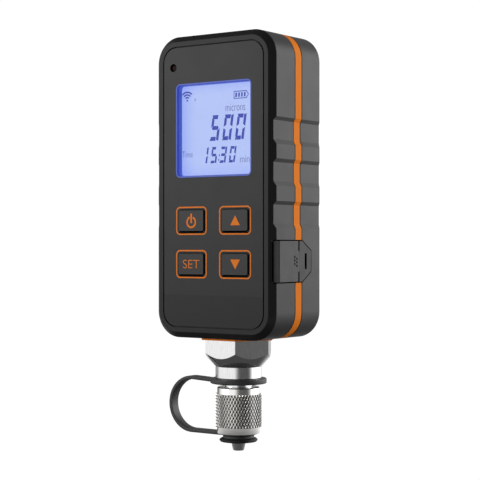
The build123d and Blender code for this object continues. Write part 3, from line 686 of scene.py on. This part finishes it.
def key_print():
    """Orange frame round each key, and a black strip of painted shade inside its right and lower sides."""
    front = corners("face_plate")[0].y
    orange = moulded("ring_print_finish", ink("f58632"), rough=0.5, grain=0.1, depth=0.001, specular=0.05)
    black = moulded("painted_shade_finish", ink("030303"), rough=0.5, grain=0.1, depth=0.001, specular=0.05)
    for key in ("power", "up", "set", "down"):
        centre = centre_of(key + "_key")
        bm = bmesh.new()
        face = rounded(bm, ring_width, ring_height, ring_corner)
        ring = bmesh.ops.inset_region(bm, faces=[face], thickness=ring_line, use_boundary=True, use_even_offset=True)["faces"]
        bmesh.ops.delete(bm, geom=[face], context="FACES")
        raise_faces(bm, ring, print_thickness)
        facing_front(bm, centre.x, front - print_lift, centre.z)
        close_piece(key + "_key_frame", bm, "gauge", orange)
        # The black strip below is painted shade, laid just in front of the face plate.
        bm = bmesh.new()
        inner_x = ring_width / 2 - ring_line
        inner_z = ring_height / 2 - ring_line
        key_x = key_width / 2 + 0.1
        key_z = key_height / 2 + 0.1
        shade = polygon(bm, (
            (-inner_x + 0.3, -inner_z), (inner_x, -inner_z), (inner_x, inner_z - 0.3),
            (key_x, inner_z - 0.3), (key_x, -key_z), (-inner_x + 0.3, -key_z),
        ))
        raise_faces(bm, [shade], print_thickness)
        facing_front(bm, centre.x, front - print_lift / 2, centre.z)
        close_piece(key + "_key_shade", bm, "gauge", black)


def arc_band(bm, radius, line, start, end, steps=40, x=0.0, z=0.0):
    """Flat stroke along an arc, angles in degrees from the right, anticlockwise."""
    inner = []
    outer = []
    for n in range(steps + 1):
        turn = radians(start + (end - start) * n / steps)
        for side, reach in ((inner, radius - line / 2), (outer, radius + line / 2)):
            side.append((x + reach * cos(turn), z + reach * sin(turn)))
    return polygon(bm, outer + inner[::-1])


def letters(text, height, width, x, z, bold=0.0):
    """Mesh of a word whose lower left corner is at a place, fitted to a width and a height."""
    curve = bpy.data.curves.new(text, "FONT")
    curve.body = text
    curve.offset = bold
    holder = bpy.data.objects.new(text, curve)
    bpy.context.scene.collection.objects.link(holder)
    bpy.context.view_layer.update()
    mesh = bpy.data.meshes.new_from_object(holder.evaluated_get(bpy.context.evaluated_depsgraph_get()))
    bpy.data.objects.remove(holder)
    bpy.data.curves.remove(curve)
    bm = bmesh.new()
    bm.from_mesh(mesh)
    bpy.data.meshes.remove(mesh)
    low = Vector((min(v.co.x for v in bm.verts), min(v.co.y for v in bm.verts), 0))
    high = Vector((max(v.co.x for v in bm.verts), max(v.co.y for v in bm.verts), 0))
    bmesh.ops.translate(bm, vec=-low, verts=bm.verts)
    size = high - low
    bmesh.ops.scale(bm, vec=(width / size.x, height / size.y, 1), verts=bm.verts)
    bmesh.ops.translate(bm, vec=(x, z, 0), verts=bm.verts)
    return bm


def key_symbols():
    """Power sign, arrows and the word on the keys, each printed on its key."""
    finish = moulded("symbol_print_finish", ink("f58632"), rough=0.5, grain=0.1, depth=0.001, specular=0.05)
    power = bmesh.new()
    radius = 1.95
    faces = [arc_band(power, radius, 0.7, 112, 428)]
    faces.append(polygon(power, ((-0.38, -0.35), (0.38, -0.35), (0.38, 3.25), (-0.38, 3.25))))
    raise_faces(power, faces, print_thickness)
    up = bmesh.new()
    raise_faces(up, [polygon(up, ((-2.15, -1.85), (2.15, -1.85), (0, 1.8)))], print_thickness)
    down = bmesh.new()
    raise_faces(down, [polygon(down, ((-2.15, 1.85), (0, -1.8), (2.15, 1.85)))], print_thickness)
    word = letters("SET", 3.2, 7.8, -3.95, -1.6, bold=-0.012)
    raise_faces(word, word.faces[:], print_thickness)
    drawings = (("power_key", power, 0.2, -0.55), ("up_key", up, 0.3, 0.0), ("down_key", down, 0.3, 0.0), ("set_key", word, 0.2, 0.0))
    for node, drawing, x, z in drawings:
        centre = centre_of(node)
        facing_front(drawing, centre.x + x, corners(node)[0].y - print_lift / 2, centre.z + z)
        close_piece(node + "_symbol", drawing, node, finish)


def digit_shapes(width, height, bar, post, gap):
    """Outlines of the seven strokes of a digit, before they are slanted."""
    middle = height / 2
    inner = width - post - gap
    nib = 0.28 * bar
    shapes = {
        "top": ((0, height), (inner, height), (inner - 0.2 * nib, height - bar), (nib, height - bar)),
        "foot": ((0, 0), (nib, bar), (inner - 0.2 * nib, bar), (inner, 0)),
        "waist": (
            (0.35 * post, middle), (0.35 * post + nib, middle + bar / 2), (width - 0.5 * post - nib, middle + bar / 2),
            (width - 0.5 * post, middle), (width - 0.5 * post - nib, middle - bar / 2), (0.35 * post + nib, middle - bar / 2),
        ),
    }
    left = ((0, middle + gap), (post, middle + bar / 2 + gap), (post, height - bar - gap), (0, height - 0.6 * bar - gap))
    right = ((width, middle + gap), (width, height), (width - post, height - 0.3 * post), (width - post, middle + bar / 2 + gap))
    for side, points in (("left", left), ("right", right)):
        shapes["upper_" + side] = points
        shapes["lower_" + side] = tuple((x, height - z) for x, z in points)
    return shapes


DIGITS = {
    "0": ("top", "foot", "upper_left", "lower_left", "upper_right", "lower_right"),
    "1": ("upper_right", "lower_right"),
    "3": ("top", "waist", "foot", "upper_right", "lower_right"),
    "5": ("top", "waist", "foot", "upper_left", "lower_right"),
}


def digit(bm, number, x, z, width, height, bar, post, gap):
    """One digit of the display, its foot at a place."""
    shapes = digit_shapes(width, height, bar, post, gap)
    for stroke in DIGITS[number]:
        polygon(bm, [(x + px + digit_slant * pz, z + pz) for px, pz in shapes[stroke]])


def display_marks():
    """Digits, words and signs on the display, just in front of its glass."""
    front = corners("display_glass")[0].y - ink_lift
    dark = glowing("digit_finish", ink("1a2da2"))
    pale = glowing("word_finish", ink("081478"))
    digits = bmesh.new()
    for number, x in (("5", -3.45), ("0", 2.3), ("0", 8.15)):
        digit(digits, number, x, 105.5, 4.0, 9.6, 1.5, 1.1, 0.2)
    for number, x in (("1", -7.45), ("5", -3.15), ("3", 1.1), ("0", 5.35)):
        digit(digits, number, x, 97.1, 2.75, 6.1, 1.0, 0.75, 0.14)
    for x, z in ((0.55, 97.9), (0.85, 99.6)):
        polygon(digits, ((x, z), (x + 0.38, z), (x + 0.46, z + 0.75), (x + 0.08, z + 0.75)))
    raise_faces(digits, digits.faces[:], ink_thickness)
    facing_front(digits, 0, front, 0)
    close_piece("display_digits", digits, "gauge", dark)
    signs = bmesh.new()
    centre = (-14.08, 121.35)
    for radius in (1.15, 2.15, 3.15):
        arc_band(signs, radius, 0.55, 45, 135, 20, *centre)
    arc_band(signs, 0.2, 0.38, 0, 359, 20, *centre)
    outline = ((7.7, 120.7), (13.5, 120.7), (14.55, 122.15), (13.5, 123.6), (7.7, 123.6))
    shell = polygon(signs, outline)
    signs.normal_update()
    bmesh.ops.inset_region(signs, faces=[shell], thickness=0.3, use_boundary=True, use_even_offset=True)
    bmesh.ops.delete(signs, geom=[shell], context="FACES")
    polygon(signs, ((-10.5, 120.9), (-10.25, 120.9), (-10.1, 122.0), (-10.35, 122.0)))
    for x in (8.8, 10.1, 11.4, 12.7):
        polygon(signs, ((x - 0.4, 121.35), (x + 0.32, 121.35), (x + 0.42, 122.95), (x - 0.3, 122.95)))
    raise_faces(signs, signs.faces[:], ink_thickness)
    facing_front(signs, 0, front, 0)
    close_piece("display_signs", signs, "gauge", dark)
    for name, text, height, width, x, z in (
        ("unit", "microns", 2.7, 8.9, 3.95, 116.3),
        ("timer", "Time", 2.3, 4.9, -16.4, 99.7),
        ("minutes", "min", 2.5, 4.2, 10.6, 97.0),
    ):
        word = letters(text, height, width, x, z, bold=-0.016)
        raise_faces(word, word.faces[:], ink_thickness)
        facing_front(word, 0, front, 0)
        close_piece("display_word_" + name, word, "gauge", pale)


def paint(finish, *nodes):
    """Gives CAD nodes a finish."""
    for node in nodes:
        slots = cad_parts[node].data.materials
        slots.clear()
        slots.append(finish.material)


def paint_nodes():
    paint(case_finish("front_case_finish", ink("1f1f20"), specular=0.22), "front_shell")
    paint(case_finish("back_case_finish", ink("272728"), specular=0.24), "back_shell")
    paint(case_finish("band_finish", ink("ff8a25"), rough=0.5, specular=0.03), "seam_band", "fitting_pad")
    paint(face_finish(), "face_plate")
    for node in ("power_key", "up_key", "set_key", "down_key"):
        paint(key_finish(node, centre_of(node)), node)
    paint(clear_finish(), "window_lens")
    paint(bezel_finish(), "display_bezel")
    paint(lit_display_finish(), "display_glass")
    paint(moulded("light_guide_finish", ink("c9d6f2"), rough=0.3), "display_backlight")
    paint(moulded("lamp_finish", ink("220507"), rough=0.6, grain=0.6, specular=0.15), "status_lamp")
    paint(cover_finish("cover_finish"), "port_flap", "port_cover_anchor")
    paint(rubber("plug_finish", ink("101011")), "dust_plug")
    paint(metal("stud_finish", (0.6, 0.6, 0.6, 1.0), rough=0.3, size=0.1, stretch=(1.0, 1.0, 0.3)), "plug_stud")
    paint(metal("fitting_finish", (0.87, 0.87, 0.875, 1.0), rough=0.12, size=0.3, stretch=(1.0, 1.0, 12.0), streak=0.13), "fitting_body")
    paint(metal("screw_finish", (0.2, 0.2, 0.21, 1.0), rough=0.35), "case_screws", "board_screws")
    paint(metal("tinned_finish", (0.7, 0.7, 0.71, 1.0), rough=0.3),
          "display_pins", "radio_module", "charging_socket", "battery_contacts",
          "fitting_washer", "sensor_can", "nut_retaining_ring")
    paint(metal("brass_finish", (0.72, 0.5, 0.22, 1.0), rough=0.25), "fitting_locknut", "sensor_retainer", "core_depressor")
    paint(board_finish(), "main_board", "sensor_board")
    paint(moulded("chip_finish", ink("161617")), "board_chips", "key_switches")
    paint(moulded("cell_finish", ink("2b5a8c"), rough=0.25, grain=1.0), "battery_cell")
    paint(moulded("tray_finish", ink("1c1c1d")), "battery_tray")
    paint(rubber("seal_finish", ink("141414")), "sensor_seal", "flare_gasket")
    paint(moulded("film_finish", ink("9a5a18"), rough=0.2, grain=1.0), "sensor_flex")


def direction(azimuth):
    """Level direction, 0 towards the display's viewer and 90 towards the charging port."""
    return (sin(radians(azimuth)), -cos(radians(azimuth)), 0.0)


def studio_world():
    """White surroundings with a dark gap on the viewer's side, as round a product table."""
    world = bpy.data.worlds.new("studio")
    bpy.context.scene.world = world
    world.use_nodes = True
    nodes = Nodes(world.node_tree)
    world.node_tree.nodes.clear()
    toward = nodes.node("ShaderNodeTexCoord")["Generated"]
    flat = nodes.node("ShaderNodeVectorMath", {"operation": "MULTIPLY"}, {0: toward, 1: (1.0, 1.0, 0.0)})["Vector"]
    level = nodes.node("ShaderNodeVectorMath", {"operation": "NORMALIZE"}, {0: flat})["Vector"]

    def facing(azimuth):
        return nodes.node("ShaderNodeVectorMath", {"operation": "DOT_PRODUCT"}, {0: level, 1: direction(azimuth)})["Value"]

    height = nodes.node("ShaderNodeSeparateXYZ", inputs={"Vector": toward})["Z"]
    gap = nodes.step(facing(camera_azimuth + 27), cos(radians(50)), cos(radians(18)))
    rear = nodes.step(facing(camera_azimuth - 156), cos(radians(48)), cos(radians(24)))
    right = nodes.step(facing(camera_azimuth + 105), cos(radians(45)), cos(radians(25)))
    above = nodes.step(height, 0.22, 0.85)
    light = (1.0 + 0.5 * right) * (1 - 0.9 * gap) * (1 - 0.62 * rear) * (1 - 0.85 * above)
    rays = nodes.node("ShaderNodeLightPath")
    soft = nodes.node("ShaderNodeBackground", inputs={"Color": (1.0, 1.0, 1.0, 1.0), "Strength": light})
    white = nodes.node("ShaderNodeBackground", inputs={"Color": (1.0, 1.0, 1.0, 1.0), "Strength": 1.03})
    shown = nodes.node("ShaderNodeMixShader", inputs={0: rays["Is Camera Ray"], 1: soft["Background"], 2: white["Background"]})
    nodes.node("ShaderNodeOutputWorld", inputs={"Surface": shown["Shader"]})


def floor():
    """Pale floor that shows white to the camera and keeps the shadow."""
    bm = bmesh.new()
    bmesh.ops.create_grid(bm, x_segments=1, y_segments=1, size=floor_half)
    bmesh.ops.translate(bm, vec=(0, 0, floor_level), verts=bm.verts)
    bmesh.ops.scale(bm, vec=(MM, MM, MM), verts=bm.verts)
    mesh = bpy.data.meshes.new("floor")
    bm.to_mesh(mesh)
    bm.free()
    board = bpy.data.objects.new("floor", mesh)
    bpy.context.scene.collection.objects.link(board)
    finish = Finish("floor_finish", Base_Color=(0.12, 0.12, 0.12, 1.0), Roughness=0.9, Specular_IOR_Level=0.1)
    rays = finish.node("ShaderNodeLightPath")
    reach = finish.node("ShaderNodeVectorMath", {"operation": "LENGTH"}, {0: finish.place})["Value"]
    outer = finish.step(reach, 0.12, 0.34) * rays["Is Glossy Ray"]
    glow = finish.mixed(outer, (0.0, 0.0, 0.0, 1.0), (0.6, 0.6, 0.6, 1.0))
    white = finish.mixed(rays["Is Camera Ray"], glow, (0.93, 0.93, 0.93, 1.0))
    finish.set(Emission_Color=white, Emission_Strength=1.03)
    mesh.materials.append(finish.material)


def lamp(name, azimuth, elevation, distance, size, power):
    """Square soft lamp aimed at the gauge's middle."""
    low, high = cad_box
    aim = (low + high) / 2
    back = Vector(direction(azimuth)) * cos(radians(elevation)) + Vector((0, 0, sin(radians(elevation))))
    light = bpy.data.lights.new(name, "AREA")
    light.shape = "SQUARE"
    light.size = size
    light.energy = power
    holder = bpy.data.objects.new(name, light)
    holder.location = aim + back * distance
    holder.rotation_euler = (-back).to_track_quat("-Z", "Y").to_euler()
    bpy.context.scene.collection.objects.link(holder)


def camera():
    ahead = radians(camera_azimuth)
    lens = bpy.data.cameras.new("camera")
    lens.lens = camera_lens
    lens.sensor_width = 36.0
    lens.shift_y = camera_shift
    lens.clip_start = 0.01
    eye = bpy.data.objects.new("camera", lens)
    back = Vector((sin(ahead), -cos(ahead), 0)) * camera_distance
    side = Vector((cos(ahead), sin(ahead), 0)) * camera_side
    eye.location = (back + side + Vector((0, 0, camera_height))) * MM
    eye.rotation_euler = (pi / 2, 0, ahead)
    bpy.context.scene.collection.objects.link(eye)
    bpy.context.scene.camera = eye


camera()
studio_world()
floor()
lamp("left_softbox", camera_azimuth - 76, 19, 0.9, 0.6, 2.5)
lamp("right_softbox", camera_azimuth + 105, 15, 0.9, 0.6, 3.1)
paint_nodes()
swivel_nut()
tether_strap()
hinge_web()
cover_dimples()
key_print()
key_symbols()
display_marks()
bpy.context.scene.view_settings.view_transform = "Standard"
